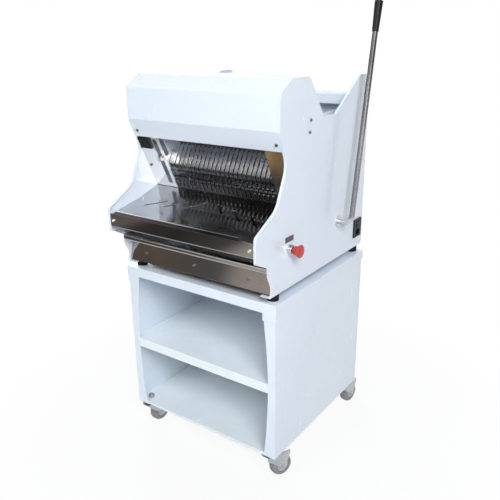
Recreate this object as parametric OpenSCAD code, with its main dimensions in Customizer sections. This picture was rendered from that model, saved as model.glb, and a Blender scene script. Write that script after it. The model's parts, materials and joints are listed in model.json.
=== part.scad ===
// Bread slicer on a wheeled stand. Millimetres, +Z up, front towards -Y, lever on the +X side.
// Sizes are first worked out about the middle of the stand, then in_frame() moves the whole part
// so that the origin lies on the ground under the middle of its bounding box.

/* [Stand] */
// Width of the stand's body
stand_w = 600; // [590:1:640]
// Depth of the stand's body
stand_d = 580; // [570:1:620]
// Height of the stand's body, from its lower edge to the top of the lid
stand_h = 541; // [500:1:620]
// Clear height under the stand's body
stand_ground = 100; // [99:1:110]
// Thickness of the stand's sheet
stand_sheet = 2; // [1.5:0.1:2.4]
// How far the lid stands over the body on each side
lid_overhang = 3; // [2.8:0.1:5]
// Height of the lid's side skirts
lid_skirt_h = 30; // [20:1:40]
// Height of the lid's front rail
lid_rail_h = 33; // [25:1:45]
// Height of the lid's corner tabs
lid_tab_h = 57; // [50:1:70]
// Width of the lid's corner tabs
lid_tab_w = 48; // [45:1:60]
// Width of the front stiles at their ends
stile_end_w = 43; // [38:1:50]
// Width of the front stiles at their middle
stile_mid_w = 27; // [22:1:34]
// Height of the shelf's top over the floor pan
shelf_rise = 258; // [200:1:300]
// Height of the shelf's front edge
shelf_edge_h = 33; // [20:1:45]
// Height of the floor pan's edge
floor_edge_h = 10; // [9:1:14]

/* [Castors] */
// Diameter of a castor wheel
castor_wheel_d = 75; // [70:1:78]
// Width of a castor wheel
castor_wheel_w = 30; // [24:1:31]
// Distance from the swivel axis back to the axle
castor_trail = 34; // [30:1:38]
// Distance of the swivel axis from the stand's side
castor_inset_x = 32; // [28:1:45]
// Distance of the swivel axis from the stand's front or back
castor_inset_y = 32; // [30:1:45]
// Diameter of the bolt that holds a castor
castor_bolt_d = 12; // [10:1:14]
// Diameter of a castor's axle
castor_axle_d = 8; // [6:1:10]
// Diameter of a castor's swivel head
castor_head_d = 46; // [42:1:52]
// Height of a castor's swivel head
castor_head_h = 8; // [6:1:9]
// Thickness of the fork's crown
castor_crown_h = 6; // [4:1:7]
// Thickness of a fork leg
castor_leg_t = 3; // [2:0.5:4]

/* [Casing] */
// Width of the machine over its side panels
machine_w = 574; // [560:1:590]
// Depth of the machine
machine_d = 676; // [665:1:700]
// Height of the side panels
machine_h = 612; // [600:1:630]
// How far the machine stands out behind the stand
back_overhang = 15; // [8:1:24]
// Thickness of the casing's sheet
casing_sheet = 2; // [1.5:0.1:2.4]
// Width of the rim folded round each side panel
casing_rim = 8; // [6:1:10]
// Width of the flange under each side panel
base_flange_w = 35; // [30:1:45]
// Diameter of a rubber foot
foot_d = 36; // [30:1:52]
// Height of a rubber foot
foot_h = 22; // [16:1:30]
// Height of the rear cover's top edge over the panels' lower edge
rear_cover_h = 534; // [500:1:550]
// Depth of the rear cover's top flange
rear_flange_d = 58; // [40:1:70]
// Height of the lip under that flange
rear_lip_h = 36; // [20:1:45]

/* [Slicing unit] */
// Sideways place of the bread passage from the machine's middle
passage_x = 14; // [8:1:16]
// Number of comb fingers
finger_count = 24; // [18:2:24]
// Distance from finger to finger
finger_pitch = 17; // [16.5:0.1:17.2]
// Width of the slot between two fingers
slot_w = 5; // [4:0.5:6]
// Lean of the blades from the upright
blade_tilt = 25; // [24:0.5:26]
// Width of a blade
blade_w = 11; // [9:0.5:11]
// Thickness of a blade
blade_t = 1; // [0.8:0.1:1.4]
// Height of the bread bed over the panels' lower edge
bed_h = 277; // [274:1:282]
// Distance from the machine's front to the blades at the height of the bed
blade_setback = 287; // [284:1:290]
// Distance from the blades' line to the front of the guard plates
guard_gap = 70; // [69:0.5:72]
// Diameter of the hold-down comb's rounded nose
nose_d = 36; // [30:1:38]
// Lean of the hold-down comb's fingers from the upright
comb_lean = 30; // [28:1:32]
// Straight length of the hold-down comb's fingers
comb_arm_l = 128; // [122:1:130]
// Thickness of the hold-down comb's sheet
comb_sheet = 2.5; // [2:0.1:3]
// Width of the slot in the left guard plate
guard_slot_w = 19; // [18:0.5:20]

/* [Discharge] */
// Height of the tray's lower front edge over the panels' lower edge
tray_front_h = 180; // [177:1:182]
// Height of the lip along the tray's front
tray_lip_h = 18; // [15:1:22]
// Length of the lip along the tray's front
tray_lip_l = 474; // [440:1:500]
// Thickness of the tray's sheet
tray_sheet = 2; // [1.5:0.1:2.4]
// Length of a slot in the tray
tray_slot_l = 77; // [50:1:80]
// Width of a slot in the tray
tray_slot_w = 7; // [3:0.5:9]
// Height of the fascia's top over the panels' lower edge
fascia_top_h = 187; // [184:1:190]
// Height of the fascia
fascia_h = 45; // [40:1:50]
// Width of the crumb drawer's pan
drawer_pan_w = 520; // [460:1:526]
// Depth of the crumb drawer's pan
drawer_pan_d = 224; // [180:1:230]
// Height of the crumb drawer's pan
drawer_pan_h = 40; // [25:1:50]

/* [Drive] */
// Half of the blade frames' stroke
stroke = 10; // [8:0.5:10]
// Width of a blade frame's beams across the blades
beam_d = 16; // [12:1:17]
// Height of a blade frame's beams
beam_h = 30; // [24:1:32]
// Diameter of the eccentric shaft
crank_shaft_d = 24; // [20:1:26]
// Diameter of an eccentric
eccentric_d = 48; // [47:0.5:48.5]
// Pitch diameter of the pulley on the eccentric shaft
crank_pulley_d = 88; // [80:1:92]
// Pitch diameter of the motor's pulley
motor_pulley_d = 44; // [40:1:46]
// Thickness of the drive belt
belt_t = 7; // [5:0.5:8]
// Width of the drive belt
belt_w = 8; // [6:0.5:10]
// Diameter of the motor's body
motor_d = 100; // [90:1:106]
// Length of the motor's body
motor_l = 170; // [140:1:185]
// Diameter of the motor's shaft
motor_shaft_d = 18; // [14:1:20]

/* [Lever and pusher] */
// Height of the lever's shaft over the panels' lower edge
lever_h = 130; // [129:1:133]
// Distance of the lever's shaft from the machine's back
lever_setback = 189; // [187:1:192]
// Lean of the lever behind the upright at rest
lever_lean = 10; // [6:1:14]
// Swing of the lever
lever_swing = 70; // [60:1:70]
// Diameter of the lever's bar
lever_d = 18; // [16:0.5:19]
// Length from the lever's shaft to the grip
lever_l = 606; // [550:1:680]
// Distance of the bar from the side panel
lever_reach = 47; // [45:1:60]
// Radius of the bar's bend
lever_bend_r = 28; // [24:1:30]
// Length of the grip
grip_l = 90; // [80:1:120]
// Diameter of the grip's upper end
grip_top_d = 27; // [25:1:34]
// Diameter of the grip's lower end
grip_low_d = 21; // [20.5:0.5:24]
// Diameter of the shaft inside the machine
lever_shaft_d = 25; // [22:1:26]
// Height of the pusher's bar over the lever's shaft
pusher_rise = 160; // [158:1:162]
// Diameter of the pusher's bar
pusher_bar_d = 16; // [14:1:16.5]
// Width of a pusher finger
pusher_finger_w = 5; // [3:0.5:11]
// Height of the pusher's fingers
pusher_finger_h = 74; // [60:1:80]

/* [Controls] */
// Diameter of the emergency stop's button
stop_d = 40; // [34:1:44]
// Travel of the emergency stop's button
stop_travel = 5; // [3:0.5:6]
// Distance of the emergency stop from the machine's front
stop_setback = 172; // [165:1:180]
// Height of the emergency stop over the panels' lower edge
stop_h = 124; // [120:0.5:126]
// Width of the power module's plate
inlet_w = 57; // [50:1:60]
// Height of the power module's plate
inlet_h = 66; // [60:1:70]
// Distance of the power module's middle from the machine's back
inlet_setback = 42; // [40:1:50]
// Height of the power module's middle over the panels' lower edge
inlet_z = 70; // [60:1:80]

/* [Hidden] */
// Radial clearance of shafts that turn
run_gap = 0.05;
// Clearance of pieces that slide past each other
slide_gap = 0.3;
// Clearance between a fixed sheet and the edge that it meets
seam_gap = 0.3;
// Overrun of every cut
over = 1;
// Straight pieces in a rounded corner of a folded sheet
arc_steps = 6;
// Facets of the wide bow on the stiles
bow_facets = 720;
$fn = 48;

// Heights
stand_low = stand_ground;
stand_top = stand_ground + stand_h;
floor_top = stand_low + floor_edge_h;
base_z = stand_top + foot_h;
bed_z = base_z + bed_h;

// Machine's extent in the stand's own axes
back_y = stand_d / 2 + back_overhang;
front_y = back_y - machine_d;
half_w = machine_w / 2;
inner_w = half_w - casing_sheet;
span_w = half_w - casing_rim - seam_gap;

// Corners of the side panels' outline, as shares of the machine's depth and height
foot_share = [0.104, 0];
shin_share = [0.112, 0.052];
knee_share = [0.084, 0.119];
chin_share = [0.083, 0.163];
nose_low_share = [0, 0.2075];
nose_top_share = [0, 0.33];
cheek_share = [0.158, 0.423];
throat_share = [0.235, 0.61];
brow_share = [0.173, 0.771];
hood_front_share = [0.177, 0.936];
hood_top_share = [0.27, 0.996];
hood_back_share = [0.41, 0.994];
notch_front_share = [0.534, 0.804];
notch_back_share = [0.652, 0.796];
post_front_share = [0.895, 0.976];
post_back_share = [0.995, 0.972];
heel_share = [1, 0.018];
heel_low_share = [0.985, 0];
panel_shares = [foot_share, heel_low_share, heel_share, post_back_share, post_front_share,
    notch_back_share, notch_front_share, hood_back_share, hood_top_share, hood_front_share,
    brow_share, throat_share, cheek_share, nose_top_share, nose_low_share, chin_share,
    knee_share, shin_share];
// Radii of those corners
edge_r = 10;
fold_r = 8;
throat_r = 70;
shin_r = 30;
panel_radii = [0, 0, 0, edge_r * 1.6, edge_r, edge_r, edge_r, edge_r * 1.6, edge_r * 1.6, edge_r,
    edge_r, throat_r, throat_r, edge_r, fold_r, fold_r, shin_r, shin_r];

// Points and paths in the plane of the side panels: first Y, then Z
function on_panel(share) = [front_y + share.x * machine_d, base_z + share.y * machine_h];
function unit(v) = v / norm(v);
function left_of(v) = [-v.y, v.x];
function turn_between(u, v) = atan2(u.x * v.y - u.y * v.x, u * v);
function arc(centre, r, from, to, steps) =
    [for (i = [0:steps]) let (a = from + (to - from) * i / steps) centre + r * [cos(a), sin(a)]];
function corner_arc(a, b, c, r) =
    let (u = unit(a - b),
         v = unit(c - b),
         half = acos(u * v) / 2,
         centre = b + unit(u + v) * r / sin(half),
         start = b + u * r / tan(half) - centre,
         stop = b + v * r / tan(half) - centre,
         from = atan2(start.y, start.x))
    arc(centre, r, from, from + turn_between(start, stop), arc_steps);
function rounded_loop(points, radii) =
    let (n = len(points))
    [for (i = [0:n - 1]) each radii[i] > 0
        ? corner_arc(points[(i + n - 1) % n], points[i], points[(i + 1) % n], radii[i])
        : [points[i]]];
function rounded_path(points, r) =
    let (n = len(points))
    [for (i = [0:n - 1]) each i > 0 && i < n - 1
        ? corner_arc(points[i - 1], points[i], points[i + 1], r)
        : [points[i]]];
function mitre(p, n1, n2, t) = p + (n1 + n2) * t / (1 + n1 * n2);
function inset_loop(points, t) =
    let (n = len(points))
    [for (i = [0:n - 1])
        mitre(points[i], left_of(unit(points[i] - points[(i + n - 1) % n])),
            left_of(unit(points[(i + 1) % n] - points[i])), t)];
function inset_path(points, t) =
    let (n = len(points))
    [for (i = [0:n - 1])
        let (before = unit(points[max(i, 1)] - points[max(i, 1) - 1]),
             after = unit(points[min(i, n - 2) + 1] - points[min(i, n - 2)]))
        mitre(points[i], left_of(before), left_of(after), t)];
// A folded sheet seen from its edge, with its thickness on the left of the path
function sheet_of(path, t) =
    let (inner = inset_path(path, t), n = len(path))
    concat(path, [for (i = [n - 1:-1:0]) inner[i]]);
panel_outline = rounded_loop([for (s = panel_shares) on_panel(s)], panel_radii);

// The leaning plane of the blades: y behind the blades, z upwards along them
blade_y = front_y + blade_setback;
function from_blades(y, z) =
    [blade_y + y * cos(blade_tilt) - z * sin(blade_tilt), bed_z + y * sin(blade_tilt) + z * cos(blade_tilt)];
comb_w = finger_count * finger_pitch;
slot_count = finger_count - 1;
function slot_x(i) = (i - (slot_count - 1) / 2) * finger_pitch;
wall_gap = 2;
wall_t = 3;
wall_in = comb_w / 2 + wall_gap;
wall_out = wall_in + wall_t;

// Guard plates, measured along the blades
guard_t = 2;
guard_foot_z = -14;
guard_top_z = 192;
lip_foot_z = 184;
guard_slot_low = 4;
guard_slot_high = 176;
guard_slot_x = -227;
lip_screw_z = 207;

// Blade frames, measured from the blade line
blade_front = -4;
frame_play = 1;
beam_top_z = 210;
beam_low_z = -70;
frame_bar_w = 16;
frame_bar_x = 214;
blade_bite = 12;
crank_z = -230;
crank_y = blade_front + (blade_w + frame_play) / 2;
crank_place = from_blades(crank_y, crank_z);
yoke_bar = 8;
yoke_t = 12;
// A steady slide differs from the eccentric's own rise by this share of the half stroke at most
yoke_lag_share = 0.2106;
yoke_play = yoke_lag_share * stroke + slide_gap;
yoke_side_play = 1.5;
eccentric_w = 14;
front_yoke_x = 140;
back_yoke_x = 100;

// Drive on the left side
pulley_w = 20;
belt_inset = 20;
belt_x = belt_inset - inner_w;
belt_land = 3.5;
pulley_lip = 5;
motor_setback = 90;
motor_y = back_y - motor_setback;
motor_foot_h = 5;
base_top = base_z + 2 * casing_sheet;
motor_z = base_top + motor_foot_h + motor_d / 2;
motor_gap = 20;
motor_x = belt_x + pulley_w / 2 + motor_gap;
bearing_w = 22;
bearing_d = 60;
bearing_wall = 14;
bearing_gap = 12;
shaft_end_gap = 10;

// Lever, its inner arms and the pusher
lever_y = back_y - lever_setback;
lever_z = base_z + lever_h;
arm_lean = lever_swing / 2;
pusher_travel = 2 * pusher_rise * tan(arm_lean);
pusher_y = lever_y + pusher_rise * tan(arm_lean);
pusher_z = lever_z + pusher_rise;
arm_t = 8;
arm_w = 46;
arm_side = 240;
// A steady slide differs from the arm's own reach by this share of the pusher's rise at most
arm_lag_share = 0.037;
arm_slot_w = pusher_bar_d + 2 * (arm_lag_share * pusher_rise + slide_gap);
arm_slot_low = pusher_rise - pusher_bar_d;
arm_slot_high = pusher_rise / cos(arm_lean);
bush_wall = 6;
bush_flange_d = 40;
bush_flange_t = 4;
bush_l = 18;
lever_end_l = 14;
elbow_wall = 0.5;
pusher_lift = 6;
pusher_past = 12;
pusher_back = 12;
shoe_l = 30;
rail_play = 2;
rail_h = pusher_bar_d + 2 * rail_play;

// Controls
stop_y = front_y + stop_setback;
stop_z = base_z + stop_h;
stop_collar_d = 30;
stop_collar_l = 16;
stop_stem_d = 14;
stop_barrel_d = 22;
stop_nut_t = 5;
stop_block = [44, 30, 40];
stop_cap_l = 23;
inlet_y = back_y - inlet_setback;
inlet_mid_z = base_z + inlet_z;
inlet_plate_t = 4;
inlet_border = 5;
inlet_depth = 42;
socket_w = 27;
socket_h = 20;
socket_depth = 18;
rocker_w = 24;
rocker_h = 21;
rocker_depth = 12;
rocker_gap = 1.2;
rocker_pin_d = 3;
rocker_pin_l = 3;

// Castors: side, end and the way that the fork trails
castor_spots = [[1, -1], [-1, -1], [1, 1], [-1, 1]];
castor_yaws = [68, 85, 82, 80];
function castor_at(i) = [castor_spots[i].x * (stand_w / 2 - castor_inset_x),
    castor_spots[i].y * (stand_d / 2 - castor_inset_y), 0];
castor_top = floor_top - stand_sheet;
castor_leg_gap = 2;
wheel_r = castor_wheel_d / 2;
tread_shares = [[0.8, 1], [0.91, 0.92], [0.985, 0.6], [1, 0.25]];

// Box of the whole part, from which its origin is set
function castor_back(i) = castor_at(i).y + max([for (s = tread_shares)
    (castor_trail + s.x * wheel_r) * sin(castor_yaws[i]) + s.y * castor_wheel_w / 2 * cos(castor_yaws[i])]);
screw_d = 9;
screw_head_h = 3;
box_right = half_w + lever_reach + grip_top_d / 2;
box_left = -stand_w / 2 - lid_overhang;
box_back = max(back_y, castor_back(2), castor_back(3));
box_front = front_y - screw_head_h;
module in_frame() {
    translate([-(box_right + box_left) / 2, -(box_back + box_front) / 2, 0]) children();
}

// Helpers that place shapes
module along_x(from, to) {
    translate([from, 0, 0]) rotate([90, 0, 90]) linear_extrude(to - from) children();
}
module at_blades() {
    translate([passage_x, blade_y, bed_z]) rotate([blade_tilt, 0, 0]) children();
}
module box(low, high) {
    translate(low) cube(high - low);
}
module rod_x(from, to, y, z, d) {
    translate([from, y, z]) rotate([0, 90, 0]) cylinder(d = d, h = to - from);
}

// Stand
module stand_lid() {
    w = stand_w + 2 * lid_overhang;
    d = stand_d + 2 * lid_overhang;
    color("white") {
        difference() {
            box([-w / 2, -d / 2, stand_top - lid_skirt_h], [w / 2, d / 2, stand_top]);
            box([stand_sheet - w / 2, stand_sheet - d / 2, stand_top - lid_skirt_h - over],
                [w / 2 - stand_sheet, d / 2 - stand_sheet, stand_top - stand_sheet]);
        }
        translate([0, stand_sheet - d / 2, stand_top]) rotate([90, 0, 0]) linear_extrude(stand_sheet)
            polygon([[-w / 2, 0], [-w / 2, -lid_tab_h], [lid_tab_w - w / 2, -lid_tab_h],
                [lid_tab_w - w / 2, -lid_rail_h], [w / 2 - lid_tab_w, -lid_rail_h],
                [w / 2 - lid_tab_w, -lid_tab_h], [w / 2, -lid_tab_h], [w / 2, 0]]);
    }
}
module stand_side() {
    h = stand_h - stand_sheet;
    stile_half = (stand_h - lid_tab_h) / 2;
    bow = stile_end_w - stile_mid_w;
    bow_r = (stile_half * stile_half + bow * bow) / (2 * bow);
    box([stand_w / 2 - stand_sheet, -stand_d / 2, stand_low], [stand_w / 2, stand_d / 2, stand_low + h]);
    translate([0, stand_sheet - stand_d / 2, 0]) rotate([90, 0, 0]) linear_extrude(stand_sheet)
        difference() {
            translate([stand_w / 2 - stile_end_w - bow, stand_low]) square([stile_end_w + bow, h]);
            translate([stand_w / 2 - stile_mid_w - bow_r, stand_low + stile_half])
                circle(bow_r, $fn = bow_facets);
        }
}
module stand_side_left() {
    color("white") mirror([1, 0, 0]) stand_side();
}
module stand_side_right() {
    color("white") stand_side();
}
module stand_back() {
    w = stand_w / 2 - stand_sheet;
    color("white")
        box([-w, stand_d / 2 - stand_sheet, stand_low], [w, stand_d / 2, stand_top - stand_sheet]);
}
module folded_pan(top, edge_h) {
    w = stand_w / 2 - stand_sheet;
    d = stand_d / 2 - stand_sheet;
    difference() {
        box([-w, -d, top - edge_h], [w, d, top]);
        box([stand_sheet - w, stand_sheet - d, top - edge_h - over],
            [w - stand_sheet, d - stand_sheet, top - stand_sheet]);
    }
}
module stand_shelf() {
    color("white") folded_pan(floor_top + shelf_rise, shelf_edge_h);
}
module stand_floor() {
    color("white") difference() {
        folded_pan(floor_top, floor_edge_h);
        for (i = [0:3])
            translate(castor_at(i)) translate([0, 0, stand_low])
                cylinder(d = castor_bolt_d + 2 * run_gap, h = floor_edge_h + over);
    }
}

// Castors
castor_nut_h = castor_bolt_d * 0.8;
castor_bolt_head_h = castor_bolt_d * 0.55;
castor_nut_d = castor_bolt_d * 1.9;
crown_top = castor_top - castor_head_h - slide_gap;
crown_low = crown_top - castor_crown_h;
bolt_low = crown_low - slide_gap - castor_bolt_head_h;
bolt_top = floor_top + castor_nut_h * 1.5;
module castor_heads() {
    color("silver") for (i = [0:3])
        translate(castor_at(i)) translate([0, 0, castor_top - castor_head_h])
            difference() {
                cylinder(d = castor_head_d, h = castor_head_h);
                translate([0, 0, -over])
                    cylinder(d = castor_bolt_d + 2 * run_gap, h = castor_head_h + 2 * over);
            }
}
module castor_bolts() {
    color("lightgray") for (i = [0:3])
        translate(castor_at(i)) {
            translate([0, 0, bolt_low]) cylinder(d = castor_bolt_d, h = bolt_top - bolt_low);
            translate([0, 0, bolt_low]) cylinder(d = castor_nut_d, h = castor_bolt_head_h, $fn = 6);
            translate([0, 0, floor_top]) cylinder(d = castor_nut_d, h = castor_nut_h, $fn = 6);
        }
}
module castor_fork(i) {
    leg_in = castor_wheel_w / 2 + castor_leg_gap;
    leg_out = leg_in + castor_leg_t;
    leg_top_w = castor_head_d * 0.4;
    leg_back = castor_head_d * 0.6;
    leg_fore = castor_trail + wheel_r * 0.7;
    skirt_low = crown_low - wheel_r * 0.35;
    leg_end_r = castor_axle_d * 1.35;
    bolt_head_t = castor_axle_d / 2;
    color("silver") translate(castor_at(i)) rotate([0, 0, castor_yaws[i]]) {
        difference() {
            translate([0, 0, crown_low]) cylinder(d = castor_head_d, h = castor_crown_h);
            translate([0, 0, crown_low - over])
                cylinder(d = castor_bolt_d + 2 * run_gap, h = castor_crown_h + 2 * over);
        }
        for (side = [-1, 1])
            translate([0, side * (leg_in + castor_leg_t / 2) + castor_leg_t / 2, 0]) rotate([90, 0, 0])
                linear_extrude(castor_leg_t) {
                    polygon([[-leg_back, crown_low], [leg_fore, crown_low], [leg_fore, skirt_low],
                        [castor_trail + leg_end_r, wheel_r], [castor_trail - leg_end_r, wheel_r],
                        [-leg_back, skirt_low]]);
                    translate([castor_trail, wheel_r]) circle(leg_end_r);
                }
        for (side = [-1, 1])
            translate([0, side * (leg_in + castor_leg_t / 2) - castor_leg_t / 2, crown_low])
                translate([-leg_top_w, 0, 0]) cube([2 * leg_top_w, castor_leg_t, castor_crown_h / 2]);
        translate([castor_trail, leg_out + bolt_head_t, wheel_r]) rotate([90, 0, 0])
            cylinder(d = castor_axle_d, h = 2 * (leg_out + bolt_head_t));
        for (side = [-1, 1])
            translate([castor_trail, side * (leg_out + bolt_head_t / 2) + bolt_head_t / 2, wheel_r])
                rotate([90, 0, 0]) cylinder(d = castor_axle_d * 1.7, h = bolt_head_t, $fn = 6);
    }
}
module castor_wheel(i) {
    half = castor_wheel_w / 2;
    bore_r = castor_axle_d / 2 + run_gap;
    rim = [for (s = tread_shares) [s.x * wheel_r, s.y * half]];
    n = len(rim);
    color("gray") translate(castor_at(i)) rotate([0, 0, castor_yaws[i]])
        translate([castor_trail, 0, wheel_r]) rotate([90, 0, 0])
            rotate_extrude()
                polygon(concat([[bore_r, half]], rim, [for (k = [n - 1:-1:0]) [rim[k].x, -rim[k].y]],
                    [[bore_r, -half]]));
}
module castor_fork_front_right() {
    castor_fork(0);
}
module castor_fork_front_left() {
    castor_fork(1);
}
module castor_fork_rear_right() {
    castor_fork(2);
}
module castor_fork_rear_left() {
    castor_fork(3);
}
module castor_wheel_front_right() {
    castor_wheel(0);
}
module castor_wheel_front_left() {
    castor_wheel(1);
}
module castor_wheel_rear_right() {
    castor_wheel(2);
}
module castor_wheel_rear_left() {
    castor_wheel(3);
}

// Casing
foot_edge = 1;
foot_inset = foot_d / 2 + foot_edge;
foot_front_inset = 116;
foot_back_inset = 35;
module machine_feet() {
    color("black") for (x = [foot_inset - half_w, half_w - foot_inset])
        for (y = [front_y + foot_front_inset, back_y - foot_back_inset])
            translate([x, y, stand_top]) cylinder(d = foot_d, h = foot_h);
}
module base_pan() {
    lip_h = 10;
    front = on_panel(shin_share).x + casing_rim;
    back = on_panel(heel_low_share).x - casing_rim;
    path = [[back, base_top + lip_h], [back, base_z + casing_sheet], [front, base_z + casing_sheet],
        [front, base_top + lip_h]];
    color("lightgray") along_x(-inner_w + seam_gap, inner_w - seam_gap)
        polygon(sheet_of(path, -casing_sheet));
}
module panel_shell() {
    difference() {
        along_x(half_w - casing_rim, half_w) polygon(panel_outline);
        along_x(half_w - casing_rim - over, inner_w) polygon(inset_loop(panel_outline, casing_sheet));
        box([half_w - casing_rim - over, front_y - over, base_top + casing_sheet],
            [inner_w, on_panel(shin_share).x + casing_rim, drawer_top + drawer_rise]);
    }
    box([half_w - base_flange_w, on_panel(foot_share).x, base_z],
        [inner_w, on_panel(heel_low_share).x, base_z + casing_sheet]);
}
module side_panel_left() {
    color("white") mirror([1, 0, 0]) panel_shell();
}
module side_panel_right() {
    cut_w = inlet_w / 2 - inlet_border + seam_gap;
    cut_h = inlet_h / 2 - inlet_border + seam_gap;
    color("white") difference() {
        panel_shell();
        rod_x(half_w - casing_rim, half_w + over, lever_y, lever_z, lever_d + 2 * bush_wall + 2 * run_gap);
        rod_x(half_w - casing_rim, half_w + over, stop_y, stop_z, stop_barrel_d + 2 * run_gap);
        box([half_w - casing_rim, inlet_y - cut_w, inlet_mid_z - cut_h],
            [half_w + over, inlet_y + cut_w, inlet_mid_z + cut_h]);
    }
}
module rear_cover() {
    vent_rows = 7;
    vent_pitch = 14;
    vent_h = 5;
    vent_w = 160;
    back = back_y - casing_sheet - seam_gap;
    low = base_top + casing_sheet;
    top = base_z + rear_cover_h;
    path = [[back, low], [back, top], [back - rear_flange_d, top], [back - rear_flange_d, top - rear_lip_h]];
    color("white") difference() {
        along_x(-span_w, span_w) polygon(sheet_of(rounded_path(path, fold_r / 2), casing_sheet));
        for (i = [0:vent_rows - 1])
            box([-vent_w - base_flange_w, back - 2 * casing_sheet, low + vent_pitch * (i + 2)],
                [-base_flange_w, back + over, low + vent_pitch * (i + 2) + vent_h]);
    }
}
lip_plane = -guard_gap - casing_sheet - seam_gap;
module front_hood() {
    path = [on_panel(hood_back_share), on_panel(hood_top_share), on_panel(hood_front_share),
        on_panel(brow_share), from_blades(lip_plane, guard_top_z + 2 * casing_sheet),
        from_blades(lip_plane, lip_foot_z)];
    color("white") along_x(-span_w, span_w) polygon(sheet_of(rounded_path(path, edge_r), casing_sheet));
}
module chute_front_wall() {
    top = on_panel(hood_back_share);
    low = max(wall_edge_z(top.x), wall_edge_z(top.x + casing_sheet)) + seam_gap;
    color("white") along_x(-span_w, span_w)
        polygon(sheet_of([[top.x, low], top], -casing_sheet));
}

// Slicing unit
wall_drop = 35;
wall_rise = 210;
wall_setback = 55;
wall_low = bed_z - wall_drop;
wall_top = bed_z + wall_rise;
wall_back = back_y - wall_setback;
wall_front_y = -48;
wall_front_top_z = 190;
wall_frame_y = 60;
rail_ends = shoe_l / 2 + rail_play;
wall_peak = from_blades(wall_frame_y, wall_front_top_z);
function wall_edge_z(y) =
    wall_peak.y + (wall_top - wall_peak.y) * (y - wall_peak.x) / (wall_back - wall_peak.x);
module channel_wall() {
    low_front_z = (wall_low - bed_z - wall_front_y * sin(blade_tilt)) / cos(blade_tilt);
    difference() {
        along_x(wall_in, wall_out)
            polygon([from_blades(wall_front_y, low_front_z), [wall_back, wall_low], [wall_back, wall_top],
                wall_peak, from_blades(wall_front_y, wall_front_top_z)]);
        box([wall_in - over, pusher_y - pusher_travel - rail_ends, pusher_z - rail_h / 2],
            [wall_out + over, pusher_y + rail_ends, pusher_z + rail_h / 2]);
    }
}
module channel_wall_left() {
    color("white") translate([passage_x, 0, 0]) mirror([1, 0, 0]) channel_wall();
}
module channel_wall_right() {
    color("white") translate([passage_x, 0, 0]) channel_wall();
}
spacer_d = 16;
spacer_edge = 10;
spacer_front_ahead = 8;
spacer_mid_behind = 64;
spacer_low_z = wall_low + spacer_edge;
spacer_high_z = wall_top - wall_drop;
spacer_front_y = blade_y - spacer_front_ahead;
spacer_mid_y = blade_y + spacer_mid_behind;
spacer_back_y = wall_back - spacer_edge / 2;
spacers = [[spacer_front_y, spacer_high_z], [spacer_back_y, spacer_high_z], [spacer_mid_y, spacer_low_z],
    [spacer_back_y, spacer_low_z]];
module wall_spacers() {
    color("silver") for (s = spacers) {
        rod_x(-inner_w, passage_x - wall_out, s.x, s.y, spacer_d);
        rod_x(passage_x + wall_out, inner_w, s.x, s.y, spacer_d);
    }
}
bed_gap = 14;
bed_lip_h = 15;
module bread_bed() {
    front = blade_y + bed_gap;
    path = [[wall_back, bed_z], [front, bed_z], [front + bed_lip_h * tan(blade_tilt), bed_z - bed_lip_h]];
    color("silver") along_x(passage_x - wall_in + seam_gap, passage_x + wall_in - seam_gap)
        polygon(sheet_of(path, casing_sheet));
}
module comb_slots(low, high) {
    for (i = [0:slot_count - 1])
        translate([passage_x + slot_x(i) - slot_w / 2, 0, 0]) box(low, [slot_w, high.y, high.z]);
}
outfeed_lift = 3;
outfeed_foot_h = 8;
module outfeed_comb() {
    rear_gap = 2;
    bend_z = (bed_z + outfeed_lift - bed_z + guard_gap * sin(blade_tilt)) / cos(blade_tilt);
    foot = from_blades(-guard_gap, guard_foot_z);
    path = [[blade_y + bed_gap - rear_gap, bed_z + outfeed_lift], from_blades(-guard_gap, bend_z), foot];
    color("silver") difference() {
        along_x(passage_x - comb_w / 2, passage_x + comb_w / 2)
            polygon(sheet_of(rounded_path(path, edge_r), guard_t));
        comb_slots([0, blade_y - 2 * guard_gap, foot.y + outfeed_foot_h],
            [0, blade_y + 2 * bed_gap, bed_z + bed_gap]);
    }
}
module guard_plate(x_low, x_high) {
    box([x_low, -guard_gap, guard_foot_z], [x_high, guard_t - guard_gap, guard_top_z]);
}
module guard_plate_left() {
    color("silver") at_blades() difference() {
        guard_plate(seam_gap - inner_w - passage_x, -comb_w / 2);
        box([guard_slot_x - guard_slot_w / 2, -guard_gap - over, guard_slot_low],
            [guard_slot_x + guard_slot_w / 2, guard_t - guard_gap + over, guard_slot_high]);
    }
}
module guard_plate_right() {
    color("silver") at_blades() guard_plate(comb_w / 2, inner_w - passage_x - seam_gap);
}
switch_w = 48;
switch_h = 40;
switch_t = 6;
module guard_switch() {
    edge = 3;
    left = -span_w - passage_x;
    color("black") at_blades()
        box([left, -guard_gap - switch_t, lip_foot_z - edge - switch_h],
            [left + switch_w, -guard_gap, lip_foot_z - edge]);
}

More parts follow.
